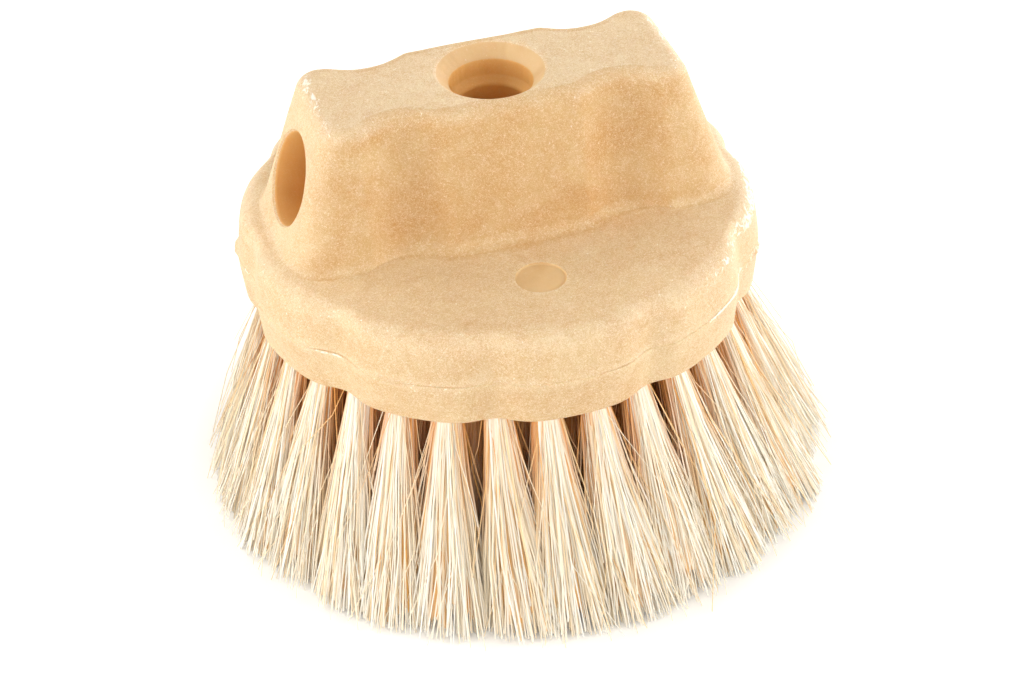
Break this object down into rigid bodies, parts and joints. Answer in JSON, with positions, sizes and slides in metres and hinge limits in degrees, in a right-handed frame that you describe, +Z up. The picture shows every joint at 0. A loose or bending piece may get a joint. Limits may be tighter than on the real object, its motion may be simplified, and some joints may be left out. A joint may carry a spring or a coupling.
{
  "type": "wash brush",
  "caption": "Round wash brush: foam-plastic block with scalloped rim, finger-grooved grip ridge, threaded and tapered handle sockets, and splayed rows of plant-fibre tufts.",
  "frame": {"origin": "on the floor under the middle of the block, at the level of the fibre tips", "axes": "+Z up along the threaded socket, +X along the grip ridge, away from the tapered socket, +Y across the ridge"},
  "size_m": [0.1524, 0.1518, 0.1108],
  "materials": {
    "foam_plastic": "structural-foam moulding, tan with pale swirl, satin",
    "plant_fibre": "dried plant fibre, cream, matt with a slight lustre",
    "anchor_wire": "zinc-coated flat wire"
  },
  "bodies": {
    "root": {"moulded_block": "foam_plastic", "tufts_outer_row": "plant_fibre", "tufts_second_row": "plant_fibre", "tufts_third_row": "plant_fibre", "tufts_inner_rows": "plant_fibre", "anchor_outer_01": "anchor_wire", "anchor_outer_02": "anchor_wire", "anchor_outer_03": "anchor_wire", "anchor_outer_04": "anchor_wire", "anchor_outer_05": "anchor_wire", "anchor_outer_06": "anchor_wire", "anchor_outer_07": "anchor_wire", "anchor_outer_08": "anchor_wire", "anchor_outer_09": "anchor_wire", "anchor_outer_10": "anchor_wire", "anchor_outer_11": "anchor_wire", "anchor_outer_12": "anchor_wire", "anchor_outer_13": "anchor_wire", "anchor_outer_14": "anchor_wire", "anchor_outer_15": "anchor_wire", "anchor_outer_16": "anchor_wire", "anchor_outer_17": "anchor_wire", "anchor_outer_18": "anchor_wire", "anchor_outer_19": "anchor_wire", "anchor_outer_20": "anchor_wire", "anchor_outer_21": "anchor_wire", "anchor_outer_22": "anchor_wire", "anchor_outer_23": "anchor_wire", "anchor_outer_24": "anchor_wire", "anchor_outer_25": "anchor_wire", "anchor_outer_26": "anchor_wire", "anchor_outer_27": "anchor_wire", "anchor_outer_28": "anchor_wire", "anchor_outer_29": "anchor_wire", "anchor_outer_30": "anchor_wire", "anchor_second_01": "anchor_wire", "anchor_second_02": "anchor_wire", "anchor_second_03": "anchor_wire", "anchor_second_04": "anchor_wire", "anchor_second_05": "anchor_wire", "anchor_second_06": "anchor_wire", "anchor_second_07": "anchor_wire", "anchor_second_08": "anchor_wire", "anchor_second_09": "anchor_wire", "anchor_second_10": "anchor_wire", "anchor_second_11": "anchor_wire", "anchor_second_12": "anchor_wire", "anchor_second_13": "anchor_wire", "anchor_second_14": "anchor_wire", "anchor_second_15": "anchor_wire", "anchor_second_16": "anchor_wire", "anchor_second_17": "anchor_wire", "anchor_second_18": "anchor_wire", "anchor_second_19": "anchor_wire", "anchor_second_20": "anchor_wire", "anchor_second_21": "anchor_wire", "anchor_second_22": "anchor_wire"}
  },
  "joints": []
}
